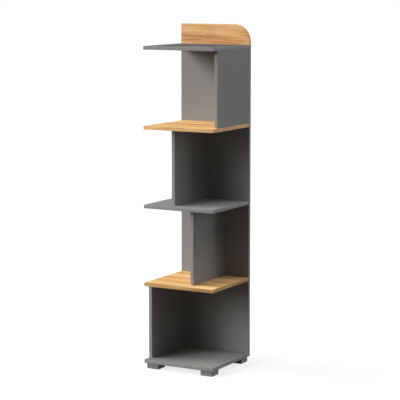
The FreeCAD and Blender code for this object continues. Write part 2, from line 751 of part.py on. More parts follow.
divider_dowel_list, cam_list, bolt_list, cover_list = [], [], [], []
for level, (divider_name, centre, cam_face) in enumerate(DIVIDERS):
    low = f"{underside_of(level)} + board_thickness"
    high = underside_of(level + 1)
    facing, outwards = (LEFT, "-") if cam_face == "left" else (RIGHT, "+")
    face = f"{centre} {outwards} {MID_BOARD}"
    bore_floor = f"{centre} {outwards} ({MID_BOARD} - cam_height)"
    cam_front = "divider_setback + cam_inset"
    for joint, inwards, sign in ((low, UP, "+"), (high, DOWN, "-")):
        cam_turn = turned(inwards, facing)
        cam_up = f"{joint} {sign} cam_backset"
        cam_list.append((point_at(bore_floor, cam_front, cam_up), cam_turn))
        cover_list.append((point_at(face, cam_front, cam_up), cam_turn))
        bolt_list.append((point_at(centre, cam_front, joint), turned(RIGHT, inwards)))
        dowel_mouth = point_at(centre, "divider_setback + divider_dowel_inset", joint)
        divider_dowel_list.append((dowel_mouth - inwards * number_of("dowel_hold"), turned(RIGHT, inwards)))
add_group("divider_dowels", copies_of(dowel, divider_dowel_list))
add_group("cam_bolts", copies_of(cam_bolt, bolt_list))
add_group("cam_locks", copies_of(cam, cam_list))
add_group("cam_covers", copies_of(cover, cover_list))


# ---- steel plates let into the back, and their screws ----

def new_plate(name, length, width):
    """An upright plate with round ends, its outer face at y = plate_thickness."""
    body = new_body(name)
    outline = new_sketch(body, name + "_outline", "XZ_Plane")
    draw_upright_slot(outline, ("0", "0"), length, width)
    pad_sketch(body, outline, "plate_thickness", reverse=True)
    return body


def countersink_plate(body, heights):
    """Countersunk screw holes on the plate's middle line, opened from its outer face."""
    holes = new_sketch(body, body.Name + "_screw_holes", "XZ_Plane", "-plate_thickness")
    draw_circles(holes, [("0", up) for up in heights], PLATE_SCREW_BORE)
    countersink_through(body, holes, True, PLATE_SCREW_BORE, "plate_screw_head_diameter")


joining_plate = new_plate("joining_plate", "joining_plate_length", "joining_plate_width")
countersink_plate(joining_plate, [f"0 {offset}" for offset in joining_screw_offsets])
add_group("joining_plates", copies_of(joining_plate, [
    (point_at(across, "overall_depth - plate_thickness", SPINE_TOP), turned(RIGHT, UP))
    for across in joining_plate_places
]))
add_group("joining_plate_screws", copies_of(plate_screw, [
    (point_at(across, "overall_depth", f"{SPINE_TOP} {offset}"), turned(RIGHT, BACK))
    for across in joining_plate_places for offset in joining_screw_offsets
]))

hanger = new_plate("hanger", "hanger_length", "hanger_width")
hook_entry = new_sketch(hanger, "hook_entry", "XZ_Plane")
draw_circles(hook_entry, [("0", "-keyhole_travel / 2")], "keyhole_entry_diameter")
pocket_sketch(hanger, hook_entry, "plate_thickness", reverse=False)
hook_slot = new_sketch(hanger, "hook_slot", "XZ_Plane")
draw_upright_slot(hook_slot, ("0", "0"), "keyhole_travel + keyhole_slot_width", "keyhole_slot_width")
pocket_sketch(hanger, hook_slot, "plate_thickness", reverse=False)
countersink_plate(hanger, [f"0 {offset}" for offset in hanger_screw_offsets])
hanger_middle = f"foot_height + {hanger_height}"
add_group("wall_hanger_plate", copies_of(hanger, [
    (point_at("overall_width / 2", "overall_depth - plate_thickness", hanger_middle), turned(RIGHT, UP))
]))
add_group("wall_hanger_screws", copies_of(plate_screw, [
    (point_at("overall_width / 2", "overall_depth", f"{hanger_middle} {offset}"), turned(RIGHT, BACK))
    for offset in hanger_screw_offsets
]))


# ---- moulded feet, hollow below, with crossed ribs and a screw boss on two of their crossings ----

foot = new_body("foot")
foot_outline = new_sketch(foot, "foot_outline", "XY_Plane")
draw_rectangle(foot_outline, ("-foot_width / 2", "-foot_width / 2"), ("foot_width / 2", "foot_width / 2"))
pad_sketch(foot, foot_outline, "foot_height")
dress_edges(foot, "PartDesign::Fillet", "Radius", "foot_round",
            lambda edge: edge.BoundBox.ZLength > number_of("foot_height") / 2)
dress_edges(foot, "PartDesign::Chamfer", "Size", "foot_chamfer", lambda edge: edge.BoundBox.ZMax < 0.01)
cavity = new_sketch(foot, "foot_cavity", "XY_Plane")
draw_rectangle(cavity, ("foot_wall - foot_width / 2", "foot_wall - foot_width / 2"),
               ("foot_width / 2 - foot_wall", "foot_width / 2 - foot_wall"))
pocket_sketch(foot, cavity, "foot_height - foot_top", reverse=True)
rib_height = "foot_height - foot_top - foot_rib_recess"
ribs = new_sketch(foot, "foot_ribs", "XY_Plane", "foot_rib_recess")
boss_offsets = [f"0 {side} foot_boss_offset" for side in "-+"]
for offset in boss_offsets:
    draw_rectangle(ribs, ("(foot_wall - foot_width) / 2", f"{offset} - foot_rib_thickness / 2"),
                   ("(foot_width - foot_wall) / 2", f"{offset} + foot_rib_thickness / 2"))
quarter_turn_copy(foot, pad_sketch(foot, ribs, rib_height))
boss_places = [(offset, offset) for offset in boss_offsets]
bosses = new_sketch(foot, "foot_bosses", "XY_Plane", "foot_rib_recess")
for offset in boss_offsets:
    low, high = f"{offset} - foot_boss_width / 2", f"{offset} + foot_boss_width / 2"
    draw_rectangle(bosses, (low, low), (high, high))
pad_sketch(foot, bosses, rib_height)
head_wells = new_sketch(foot, "foot_head_wells", "XY_Plane", "foot_rib_recess")
draw_circles(head_wells, boss_places, "foot_screw_head_diameter + bore_spare")
pocket_sketch(foot, head_wells, "foot_height - foot_screw_grip - foot_rib_recess", reverse=True)
screw_ways = new_sketch(foot, "foot_screw_ways", "XY_Plane", "foot_height")
draw_circles(screw_ways, boss_places, "foot_screw_diameter + 2 * bore_clearance")
pocket_sketch(foot, screw_ways, "foot_screw_grip", reverse=False)

FOOT_NAMES = ["front_left_foot", "front_right_foot", "rear_left_foot", "rear_right_foot"]
for foot_name, (across, along) in zip(FOOT_NAMES, foot_places):
    add_group(foot_name, copies_of(foot, [(point_at(across, along, "0"), turned(RIGHT, UP))]))
add_group("foot_screws", copies_of(foot_screw, [
    (point_at(across, along, "foot_height - foot_screw_grip"), turned(RIGHT, DOWN))
    for across, along in foot_screw_places
]))


# ---- check everything, then write one file per node ----

doc.recompute()
for item in doc.Objects:
    if "Invalid" in item.State or "Error" in item.State:
        raise RuntimeError(f"{item.Name} did not compute: {item.State}")
for node in nodes:
    if node.Shape.isNull() or not node.Shape.isValid() or not node.Shape.Solids:
        raise RuntimeError(f"{node.Name} has no valid solid")

os.makedirs("parts", exist_ok=True)
for node in nodes:
    node.Label = node.Name
    node.Shape.exportStep(f"parts/{node.Label}.step")
print(f"{len(nodes)} nodes, {sum(len(node.Shape.Solids) for node in nodes)} solids")
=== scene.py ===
import math

import bpy
import numpy as np
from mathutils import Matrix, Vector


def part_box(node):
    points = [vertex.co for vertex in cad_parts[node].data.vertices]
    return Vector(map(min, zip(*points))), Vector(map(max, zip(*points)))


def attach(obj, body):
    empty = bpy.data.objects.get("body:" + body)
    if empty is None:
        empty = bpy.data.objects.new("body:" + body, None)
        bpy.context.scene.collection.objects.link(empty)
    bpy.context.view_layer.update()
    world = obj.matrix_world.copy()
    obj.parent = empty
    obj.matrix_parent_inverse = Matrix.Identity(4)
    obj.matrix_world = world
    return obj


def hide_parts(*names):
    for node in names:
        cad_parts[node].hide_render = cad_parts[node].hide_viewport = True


# A tall open bookcase in grey and oak laminate. The boards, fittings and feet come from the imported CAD
# model; this script gives them their finishes and makes the edge bands and the threaded and fluted pieces.
# Lengths are metres in the row frame: +Z up, the open front faces -Y, the floor is at z = 0.

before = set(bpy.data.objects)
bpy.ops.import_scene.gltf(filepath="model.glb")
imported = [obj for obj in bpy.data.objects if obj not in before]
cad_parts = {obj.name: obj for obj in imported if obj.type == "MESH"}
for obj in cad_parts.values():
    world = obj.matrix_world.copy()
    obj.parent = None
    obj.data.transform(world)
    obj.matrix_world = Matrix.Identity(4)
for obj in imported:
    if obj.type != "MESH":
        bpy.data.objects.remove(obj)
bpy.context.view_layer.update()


# ---- camera: a standing eye, seven metres off, to the right of the front ----
# It looks through a long lens, tilted a little down. The turn and the tilt are in degrees, the lens and its
# sensor in millimetres.

EYE = (3.500, -6.215, 1.730)
EYE_TURN = 29.30
EYE_TILT = 7.80
LENS = 145.1
SENSOR = 36

camera_lens = bpy.data.cameras.new("camera")
camera_lens.lens = LENS
camera_lens.sensor_width = SENSOR
camera = bpy.data.objects.new("camera", camera_lens)
camera.location = EYE
camera.rotation_euler = (math.radians(90 - EYE_TILT), 0, math.radians(EYE_TURN))
bpy.context.scene.collection.objects.link(camera)
bpy.context.scene.camera = camera
bpy.context.scene.view_settings.view_transform = "Standard"


# ---- studio: a pale floor under a dim sky, and six wide soft lamps round the case ----
# The floor and the sky show white to the eye and in reflections. The floor throws little light upwards, so
# that the bays keep their shadows. Each lamp is (name, degrees right of the front, degrees up, light).

FLOOR_WIDTH = 60.0
FLOOR_AS_LIGHT = (0.10, 0.10, 0.10, 1)
FLOOR_AS_SEEN = (0.28, 0.28, 0.28, 1)
FLOOR_GLOW = 0.78
SKY_AS_SEEN = 1.0
SKY_LIGHT = 0.12
HORIZON_FADE = 0.2
LAMP_SPREAD = 30
LAMPS = [
    ("left_lamp", -75, 35, 0.82),
    ("front_left_lamp", -45, 20, 0.53),
    ("front_lamp", -30, 20, 0.20),
    ("high_right_lamp", 110, 60, 0.19),
    ("right_rear_lamp", 135, 8, 0.25),
    ("rear_lamp", 180, 10, 0.45),
]


def new_material(name):
    """An empty material, its node tree and its output node."""
    material = bpy.data.materials.new(name)
    material.use_nodes = True
    tree = material.node_tree
    tree.nodes.clear()
    return material, tree, tree.nodes.new("ShaderNodeOutputMaterial")


def add_node(tree, kind, inputs, **settings):
    """A shader node with its settings made and its inputs fed, each by a socket or a constant.

    An input goes by its name or its number. Gives the node's outputs.
    """
    node = tree.nodes.new("ShaderNode" + kind)
    for setting, value in settings.items():
        setattr(node, setting, value)
    for name, value in inputs.items():
        if isinstance(value, bpy.types.NodeSocket):
            tree.links.new(value, node.inputs[name])
        else:
            node.inputs[name].default_value = value
    return node.outputs


def add_math(tree, operation, *inputs):
    """One step of arithmetic; each input is a socket or a number."""
    return add_node(tree, "Math", dict(enumerate(inputs)), operation=operation)[0]


def add_parts(tree, vector):
    """A vector's X, Y and Z."""
    return add_node(tree, "SeparateXYZ", {0: vector})


def add_range(tree, value, from_low, from_high, to_low, to_high):
    """A value moved from one range to another, held at the ends."""
    return add_node(tree, "MapRange", {"Value": value, "From Min": from_low, "From Max": from_high,
                                       "To Min": to_low, "To Max": to_high})["Result"]


def add_blend(tree, factor, first, second):
    """Two values mixed; each of the three inputs is a socket or a number."""
    return add_node(tree, "Mix", {"Factor": factor, "A": first, "B": second})["Result"]


def seen_directly(tree):
    """1 for camera, glossy and transmission rays, which see the studio itself, and 0 for the others."""
    path = add_node(tree, "LightPath", {})
    shown = add_math(tree, "MAXIMUM", path["Is Camera Ray"], path["Is Glossy Ray"])
    return add_math(tree, "MAXIMUM", shown, path["Is Transmission Ray"])


def make_sky():
    """White where it is seen; as a light, dim above the horizon and dark below it."""
    world = bpy.data.worlds.new("sky")
    bpy.context.scene.world = world
    world.use_nodes = True
    tree = world.node_tree
    tree.nodes.clear()
    upward = add_parts(tree, add_node(tree, "TexCoord", {})["Generated"])["Z"]
    light = add_range(tree, upward, -HORIZON_FADE, HORIZON_FADE, 0, SKY_LIGHT)
    level = add_blend(tree, seen_directly(tree), light, SKY_AS_SEEN)
    sky = add_node(tree, "Background", {"Color": (1, 1, 1, 1), "Strength": level})[0]
    tree.links.new(sky, tree.nodes.new("ShaderNodeOutputWorld").inputs["Surface"])


def make_floor():
    """A wide sheet that shows white with a faint shadow, and lights the case only as dark grey would."""
    half = FLOOR_WIDTH / 2
    corners = [(-half, -half, 0), (half, -half, 0), (half, half, 0), (-half, half, 0)]
    mesh = bpy.data.meshes.new("floor")
    mesh.from_pydata(corners, [], [(0, 1, 2, 3)])
    floor = bpy.data.objects.new("floor", mesh)
    bpy.context.scene.collection.objects.link(floor)
    material, tree, output = new_material("studio_floor")
    dull = add_node(tree, "BsdfDiffuse", {"Color": FLOOR_AS_LIGHT})[0]
    pale = add_node(tree, "BsdfDiffuse", {"Color": FLOOR_AS_SEEN})[0]
    glow = add_node(tree, "Emission", {"Strength": FLOOR_GLOW})[0]
    white = add_node(tree, "AddShader", {0: pale, 1: glow})[0]
    choice = add_node(tree, "MixShader", {0: seen_directly(tree), 1: dull, 2: white})[0]
    tree.links.new(choice, output.inputs["Surface"])
    mesh.materials.append(material)


def make_lamp(name, turn, elevation, light):
    """A soft sun. A face square to a lamp of light 1 shows its own colour as it is written."""
    data = bpy.data.lights.new(name, "SUN")
    data.energy = light * math.pi
    data.angle = math.radians(LAMP_SPREAD)
    lamp = bpy.data.objects.new(name, data)
    lamp.rotation_euler = (math.radians(90 - elevation), 0, math.radians(turn))
    bpy.context.scene.collection.objects.link(lamp)


make_sky()
make_floor()
for lamp_facts in LAMPS:
    make_lamp(*lamp_facts)


# ---- boards: 16 mm chipboard faced on both sides with 0.2 mm melamine paper ----
# The faces are grey or printed as oak. An edge without a band, and the inside of a bore, shows the chips.
# A pattern's scale is the number of its waves in a metre, along each axis where there are three.

DIVIDERS = ("top_divider", "upper_divider", "lower_divider", "bottom_divider")
PAPER_THICKNESS = 0.0002
GREY = (0.270, 0.266, 0.258, 1)
# The top shelf's darker grey is painted shade: it stands in for its top darkening when seen nearly edge-on.
TOP_SHELF_PAINTED_SHADE = (0.118, 0.116, 0.114, 1)
TOP_SHELF_MATT = 0.3
CLOUD_SCALE = 9
CLOUD_SHADE = 0.05
SPECK_SCALE = 1400
SPECK_SHADE = 0.09
PEBBLE_SCALE = 900
RUB_SCALE = (40, 40, 16)
PAPER_ROUGHNESS = (0.58, 0.68)
CHIP_SIZE = 0.0028
CHIP_BEND_SIZE = 2 * CHIP_SIZE
DUST_SIZE = CHIP_SIZE / 4
DUST_SHARE = 0.5
CHIP_TONES = (
    (0.0, (0.17, 0.10, 0.05, 1)),
    (0.45, (0.47, 0.32, 0.18, 1)),
    (1.0, (0.68, 0.52, 0.33, 1)),
)
CHIP_ROUGHNESS = 0.85
BOARD_GLOSS = 0.05
BOARD_RELIEF = 0.25
RELIEF_DEPTH = 0.0001
NOISE_SPAN = (0.3, 0.7)


class Group:
    """A shader node group under construction: its tree and named sockets for what it takes and gives."""

    def __init__(self, name, takes, gives):
        self.tree = bpy.data.node_groups.new(name, "ShaderNodeTree")
        for socket, kind in takes.items():
            self.tree.interface.new_socket(socket, in_out="INPUT", socket_type="NodeSocket" + kind)
        for socket, kind in gives.items():
            self.tree.interface.new_socket(socket, in_out="OUTPUT", socket_type="NodeSocket" + kind)
        self.takes = self.tree.nodes.new("NodeGroupInput").outputs
        self.gives = self.tree.nodes.new("NodeGroupOutput").inputs

    def give(self, name, socket):
        """Puts a socket out of the group under one of its names."""
        self.tree.links.new(socket, self.gives[name])


def use_group(tree, group, **values):
    """Places a group in a tree; each value is a socket or a constant. Gives its output sockets."""
    return add_node(tree, "Group", values, node_tree=group.tree)


def object_place(tree):
    """Where a point of the piece lies, in metres."""
    return add_node(tree, "TexCoord", {})["Object"]


def add_noise(tree, place, scale, detail=3, roughness=0.5):
    """A noise's value at a place. Almost all of its values lie in NOISE_SPAN."""
    return add_node(tree, "TexNoise", {"Vector": place, "Scale": scale, "Detail": detail,
                                       "Roughness": roughness})["Fac"]


def add_ramp(tree, value, stops):
    """A colour ramp over stops of (position, colour)."""
    node = tree.nodes.new("ShaderNodeValToRGB")
    elements = node.color_ramp.elements
    while len(elements) < len(stops):
        elements.new(0.5)
    for element, (position, colour) in zip(elements, stops):
        element.position = position
        element.color = colour
    tree.links.new(value, node.inputs[0])
    return node.outputs["Color"]


def add_mix(tree, factor, first, second):
    """Two colours mixed; each of the three inputs is a socket or a constant."""
    return add_node(tree, "Mix", {0: factor, 6: first, 7: second}, data_type="RGBA")[2]


def add_mapping(tree, place, scale):
    """A vector scaled along its three axes."""
    return add_node(tree, "Mapping", {"Vector": place, "Scale": scale})[0]


def add_surface(tree, output, inputs, relief, strength, depth=RELIEF_DEPTH):
    """A Principled surface on the material's output, with a relief; its depth is in metres."""
    bump = add_node(tree, "Bump", {"Height": relief, "Strength": strength, "Distance": depth})[0]
    surface = add_node(tree, "BsdfPrincipled", {**inputs, "Normal": bump})[0]
    tree.links.new(surface, output.inputs["Surface"])


def make_chipboard():
    """Pressed wood chips: flat cells in tans and browns with bent outlines, and fine dust over them."""
    group = Group("chipboard", {"Place": "Vector"}, {"Color": "Color", "Height": "Float"})
    tree, place = group.tree, group.takes["Place"]
    wobble = add_node(tree, "TexNoise", {"Vector": place, "Scale": 1 / CHIP_BEND_SIZE})["Color"]
    bent = add_node(tree, "VectorMath", {0: wobble, 1: (CHIP_SIZE, CHIP_SIZE, CHIP_SIZE), 2: place},
                    operation="MULTIPLY_ADD")[0]
    chips = add_node(tree, "TexVoronoi", {"Vector": bent, "Scale": 1 / CHIP_SIZE})["Color"]
    tone = add_node(tree, "SeparateColor", {0: chips})[0]
    dust = add_noise(tree, place, 1 / DUST_SIZE)
    blended = add_blend(tree, DUST_SHARE, tone, dust)
    group.give("Color", add_ramp(tree, blended, CHIP_TONES))
    group.give("Height", blended)
    return group


def make_papered_face():
    """1 on a board's two papered faces and 0 between them, from the distance to its middle plane."""
    group = Group("papered_face", {"Across": "Float", "Middle": "Float", "Half": "Float"},
                  {"Mask": "Float"})
    offset = add_math(group.tree, "SUBTRACT", group.takes["Across"], group.takes["Middle"])
    distance = add_math(group.tree, "ABSOLUTE", offset)
    inside = add_math(group.tree, "SUBTRACT", group.takes["Half"], PAPER_THICKNESS)
    group.give("Mask", add_math(group.tree, "GREATER_THAN", distance, inside))
    return group


def make_melamine():
    """Pressed melamine paper: faint clouds and specks round an even tone, and a close pebbled relief."""
    group = Group("melamine", {"Place": "Vector", "Color": "Color"},
                  {"Color": "Color", "Roughness": "Float", "Height": "Float"})
    tree, place = group.tree, group.takes["Place"]
    clouds = add_noise(tree, place, CLOUD_SCALE, detail=4)
    specks = add_noise(tree, place, SPECK_SCALE, detail=2)
    darkest = 1 - (CLOUD_SHADE + SPECK_SHADE) / 2
    shade = add_math(tree, "MULTIPLY_ADD", clouds, CLOUD_SHADE,
                     add_math(tree, "MULTIPLY_ADD", specks, SPECK_SHADE, darkest))
    group.give("Color", add_node(tree, "VectorMath", {0: group.takes["Color"], "Scale": shade},
                                 operation="SCALE")[0])
    group.give("Height", add_noise(tree, place, PEBBLE_SCALE, detail=2, roughness=0.6))
    rubbed = add_noise(tree, add_mapping(tree, place, RUB_SCALE), 1.0, detail=5, roughness=0.7)
    group.give("Roughness", add_range(tree, rubbed, *NOISE_SPAN, *PAPER_ROUGHNESS))
    return group


chipboard = make_chipboard()
papered_face = make_papered_face()
melamine = make_melamine()


def middle_of(name, axis):
    """The middle of a CAD node's box along X, Y or Z, counted 0, 1 and 2."""
    low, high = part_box(name)
    return (low[axis] + high[axis]) / 2


def finish_board(name, paper_group, matt=0.0, **values):
    """One board's material: a group's paper on its two faces, and chipboard where it is cut.

    The faces lie across the board's thinnest axis. Matt is added to the paper's roughness.
    """
    material, tree, output = new_material(name + "_finish")
    place = object_place(tree)
    low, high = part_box(name)
    axis = int(np.argmin(np.subtract(high, low)))
    mask = use_group(tree, papered_face, Across=add_parts(tree, place)[axis], Middle=middle_of(name, axis),
                     Half=(high[axis] - low[axis]) / 2)["Mask"]
    chips = use_group(tree, chipboard, Place=place)
    paper = use_group(tree, paper_group, Place=place, **values)
    rough_paper = add_math(tree, "ADD", paper["Roughness"], matt)
    add_surface(tree, output, {
        "Base Color": add_mix(tree, mask, chips["Color"], paper["Color"]),
        "Roughness": add_blend(tree, mask, CHIP_ROUGHNESS, rough_paper),
        "Specular IOR Level": BOARD_GLOSS,
    }, add_blend(tree, mask, chips["Height"], paper["Height"]), BOARD_RELIEF)
    return material


def dress(node_name, material):
    """Gives a CAD node one material."""
    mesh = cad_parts[node_name].data
    mesh.materials.clear()
    mesh.materials.append(material)


for board in ("spine_panel", "middle_shelf", "bottom_shelf", *DIVIDERS):
    dress(board, finish_board(board, melamine, Color=GREY))
# The top shelf takes the darker grey, painted shade for its top seen nearly edge-on, on a matter paper.
dress("top_shelf", finish_board("top_shelf", melamine, matt=TOP_SHELF_MATT, Color=TOP_SHELF_PAINTED_SHADE))


# ---- oak boards: the same chipboard under paper printed and pressed as planed oak ----
# The grain runs from left to right. Each board shows another stretch of the print, set by where its heart
# lies: the line that the growth rings go round. The crown board has a browner stretch than the shelves.

SHELF_OAK = {
    "Light": (1.00, 0.70, 0.31, 1),
    "Middle": (1.00, 0.585, 0.235, 1),
    "Dark": (0.56, 0.26, 0.085, 1),
}
CROWN_OAK = {
    "Light": (0.95, 0.585, 0.265, 1),
    "Middle": (0.86, 0.48, 0.215, 1),
    "Dark": (0.54, 0.255, 0.088, 1),
}
SHELF_HEARTS = {"upper_oak_shelf": (-0.10, 0.49), "lower_oak_shelf": (-0.10, 0.09)}
CROWN_HEART = (-0.50, 0.259, 1.486)
BROAD_STAVES = 0.40
FAINT_STAVES = 0.24
CROWN_CONTRAST = 0.95

RING_SCALE = (12.8, 128, 128)
RING_SHARE = 0.22
RING_BEND_SCALE = (1.4, 13, 13)
RING_BEND = 9
STAVE_SCALE = (1.1, 15, 15)
STRIPE_SCALE = (6, 130, 130)
STRIPE_SPAN = (0.34, 0.66)
STREAK_SCALE = (8, 430, 430)
STREAK_SHARE = 0.16
DARK_TONE = 0.25
MIDDLE_TONE = 0.5
LIGHT_TONE = 0.72
PORE_SCALE = (55, 1900, 1900)
PORE_SPAN = (0.62, 0.72)
PORE_SHADE = 0.5
OAK_ROUGHNESS = (0.54, 0.64)
PORE_ROUGHNESS = 0.15


def add_grain(tree, place, scale, span, **noise):
    """A noise drawn out along the grain: 0 at the low end of a span of its values and 1 at the high end."""
    value = add_noise(tree, add_mapping(tree, place, scale), 1.0, **noise)
    return add_range(tree, value, *span, 0, 1)


def make_oak_print():
    """Oak grain along X.

    Growth rings are a zigzag on the distance from the heart, with RING_SCALE strokes to a metre, ten times
    fewer along the grain than across it. A slow noise bends them: nested arches near the heart, and nearly
    straight lines away from it. Over them lie broad staves, narrower stripes, fine streaks and dark pores,
    all of them noise drawn out along the grain. The tone is the weighted sum of all but the pores, spread
    round its middle by the contrast, and goes from dark through middle to light. Broad is the staves' share
    of it, and the stripes have what the other shares leave.
    """
    group = Group("oak_print", {"Place": "Vector", "Heart": "Vector", "Broad": "Float",
                                "Contrast": "Float", "Light": "Color", "Middle": "Color", "Dark": "Color"},
                  {"Color": "Color", "Roughness": "Float", "Height": "Float"})
    tree, takes = group.tree, group.takes
    place = add_node(tree, "VectorMath", {0: takes["Place"], 1: takes["Heart"]}, operation="SUBTRACT")[0]
    distance = add_node(tree, "VectorMath", {0: add_mapping(tree, place, RING_SCALE)},
                        operation="LENGTH")["Value"]
    bend = add_noise(tree, add_mapping(tree, place, RING_BEND_SCALE), 1.0, detail=2, roughness=0.45)
    rings = add_math(tree, "PINGPONG", add_math(tree, "MULTIPLY_ADD", bend, RING_BEND, distance), 1.0)
    staves = add_grain(tree, place, STAVE_SCALE, STRIPE_SPAN, detail=1)
    stripes = add_grain(tree, place, STRIPE_SCALE, STRIPE_SPAN, detail=4, roughness=0.7)
    streaks = add_grain(tree, place, STREAK_SCALE, NOISE_SPAN, roughness=0.6)
    pores = add_grain(tree, place, PORE_SCALE, PORE_SPAN, detail=1)

    stripe_share = add_math(tree, "SUBTRACT", 1 - RING_SHARE - STREAK_SHARE, takes["Broad"])
    total = add_math(tree, "MULTIPLY", rings, RING_SHARE)
    for layer, share in ((streaks, STREAK_SHARE), (staves, takes["Broad"]), (stripes, stripe_share)):
        total = add_math(tree, "MULTIPLY_ADD", layer, share, total)
    off_middle = add_math(tree, "SUBTRACT", total, MIDDLE_TONE)
    tone = add_math(tree, "MULTIPLY_ADD", off_middle, takes["Contrast"], MIDDLE_TONE)
    darker = add_mix(tree, add_range(tree, tone, DARK_TONE, MIDDLE_TONE, 0, 1),
                     takes["Dark"], takes["Middle"])
    wood = add_mix(tree, add_range(tree, tone, MIDDLE_TONE, LIGHT_TONE, 0, 1), darker, takes["Light"])
    group.give("Color", add_mix(tree, add_math(tree, "MULTIPLY", pores, PORE_SHADE), wood, takes["Dark"]))
    group.give("Height", add_math(tree, "SUBTRACT", streaks, pores))
    smooth = add_range(tree, streaks, 0, 1, *OAK_ROUGHNESS)
    group.give("Roughness", add_math(tree, "MULTIPLY_ADD", pores, PORE_ROUGHNESS, smooth))
    return group


oak_print = make_oak_print()
dress("crown_board", finish_board("crown_board", oak_print, Heart=CROWN_HEART, Broad=FAINT_STAVES,
                                  Contrast=CROWN_CONTRAST, **CROWN_OAK))
for board, heart_line in SHELF_HEARTS.items():
    heart = (*heart_line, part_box(board)[1][2])
    dress(board, finish_board(board, oak_print, Heart=heart, Broad=BROAD_STAVES, Contrast=1.0, **SHELF_OAK))


# ---- edge bands: 1 mm plastic strips glued round the edges that show ----
# Each strip is as wide as its board is thick. Its long edges are milled round and scraped, which leaves
# them paler, and a dark line of glue shows where it meets the board.

BAND = 0.001
BAND_ROUND = 0.0008
ROUND_STEPS = 6
SHARP_ANGLE = 40
# The grey strips are a little lighter than the boards: painted light for the brighter lit front edges.
GREY_STRIP_PAINTED_LIGHT = 1.04
OAK_STRIP_HEART = (0.6, 0.021, 0)
OAK_STRIP_CONTRAST = 0.7
LOWER_STRIP_HEART = (0.9, 0.321, 0)
LOWER_STRIP_CONTRAST = 0.8
LOWER_STRIP_DARKENING = 0.60
SCRAPED = (0.00004, 0.00012)
SCRAPED_TONE = (0.62, 0.60, 0.56, 1)
SCRAPED_SHARE = 0.3
GLUE_LINE = 0.00012
GLUE_TONE = (0.05, 0.045, 0.04, 1)
GLUE_SHARE = 0.7
BAND_SMOOTHER = 0.06
BAND_GLOSS = 0.1
BAND_RELIEF = 0.2
LEFTWARDS = (-1, 0, 0)
RIGHTWARDS = (1, 0, 0)
FORWARDS = (0, -1, 0)
BACKWARDS = (0, 1, 0)
UPWARDS = (0, 0, 1)


def eased_steps(length, radius, count):
    """Places from 0 to a length, close together within a radius of both ends: radius * (1 - cos(angle))."""
    curl = radius * (1 - np.cos(np.linspace(0, np.pi / 2, count)))
    return np.concatenate([curl, [length / 2], length - curl[::-1]])


def rounding(distance, radius):
    """How far a rounded edge falls back at a distance from it: radius - sqrt(radius^2 - gap^2)."""
    gap = np.clip(radius - distance, 0, radius)
    return radius - np.sqrt(radius ** 2 - gap ** 2)


def band_mesh(path, outward, across, thickness, round_ends=False):
    """One strip laid on a path: its vertices, its faces, and where each vertex lies on the strip.

    The outer face is the path pushed across the board by a second step and back by the rounding of both
    long edges, and of the ends where they show. Its rim is carried straight in to the board and closed
    there. Where a vertex lies is (how far along, how far across, how deep under the outer face).
    """
    span = np.linalg.norm(np.diff(path, axis=0), axis=1)
    along = np.concatenate([[0], np.cumsum(span)])
    over = eased_steps(thickness, BAND_ROUND, ROUND_STEPS)
    fall = rounding(np.minimum(over, thickness - over), BAND_ROUND)[None, :] + 0 * along[:, None]
    if round_ends:
        fall = np.maximum(fall, rounding(np.minimum(along, along[-1] - along), BAND_ROUND)[:, None])
    top = path[:, None] + np.array(across, float) * over[None, :, None]
    rows, columns = fall.shape
    count = rows * columns
    layers, places = [], []
    for depth in (fall, np.full_like(fall, BAND)):
        layers.append((top - outward[:, None] * depth[..., None]).reshape(-1, 3))
        spread = np.broadcast_arrays(along[:, None], over[None, :], depth)
        places.append(np.stack(spread, axis=-1).reshape(-1, 3))
    index = np.arange(count).reshape(rows, columns)
    corners = [index[:-1, :-1], index[1:, :-1], index[1:, 1:], index[:-1, 1:]]
    face = np.stack(corners, axis=-1).reshape(-1, 4)
    rim = np.concatenate([index[:, 0], index[-1, 1:], index[-2::-1, -1], index[0, -2::-1]])
    wall = np.stack([rim[1:], rim[:-1], rim[:-1] + count, rim[1:] + count], axis=-1)
    faces = np.concatenate([face, face[:, ::-1] + count, wall])
    return np.concatenate(layers), faces, np.concatenate(places)


def straight_band(start, end, outward, across, thickness, round_ends=False):
    """One strip between two points of its board's edge, stepped finely at the ends where they are round."""
    start, end = np.array(start, float), np.array(end, float)
    length = np.linalg.norm(end - start)
    steps = eased_steps(length, BAND_ROUND, ROUND_STEPS) if round_ends else np.linspace(0, length, 2)
    path = start + (end - start) * (steps / length)[:, None]
    outward = np.tile(np.array(outward, float), (len(path), 1))
    return band_mesh(path, outward, across, thickness, round_ends)


def shelf_bands(name):
    """The front strip over the whole width, and a strip on each side behind it."""
    (left, front, low), (right, back, high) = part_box(name + "_edge_bands")
    behind, thick = front + BAND, high - low
    return [
        straight_band((left, front, low), (right, front, low), FORWARDS, UPWARDS, thick, round_ends=True),
        straight_band((left, back, low), (left, behind, low), LEFTWARDS, UPWARDS, thick),
        straight_band((right, behind, low), (right, back, low), RIGHTWARDS, UPWARDS, thick),
    ]


def add_piece(name, shells, material, slot, *nodes):
    """One piece of closed shells, riding on the case and standing for its CAD nodes.

    Each shell is its vertices, its faces and, where its pattern follows the surface, where each vertex lies.
    """
    starts = np.cumsum([0] + [len(shell[0]) for shell in shells[:-1]])
    mesh = bpy.data.meshes.new(name)
    faces = np.concatenate([shell[1] + start for shell, start in zip(shells, starts)])
    mesh.from_pydata(np.concatenate([shell[0] for shell in shells]), [], faces.tolist())
    mesh.materials.append(material)
    if len(shells[0]) == 3:
        laid = mesh.attributes.new("laid", "FLOAT_VECTOR", "POINT")
        laid.data.foreach_set("vector", np.concatenate([shell[2] for shell in shells]).ravel())
    mesh.shade_smooth()
    mesh.set_sharp_from_angle(angle=math.radians(SHARP_ANGLE))
    piece = bpy.data.objects.new(name, mesh)
    bpy.context.scene.collection.objects.link(piece)
    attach(piece, "root")
    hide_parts(*nodes)


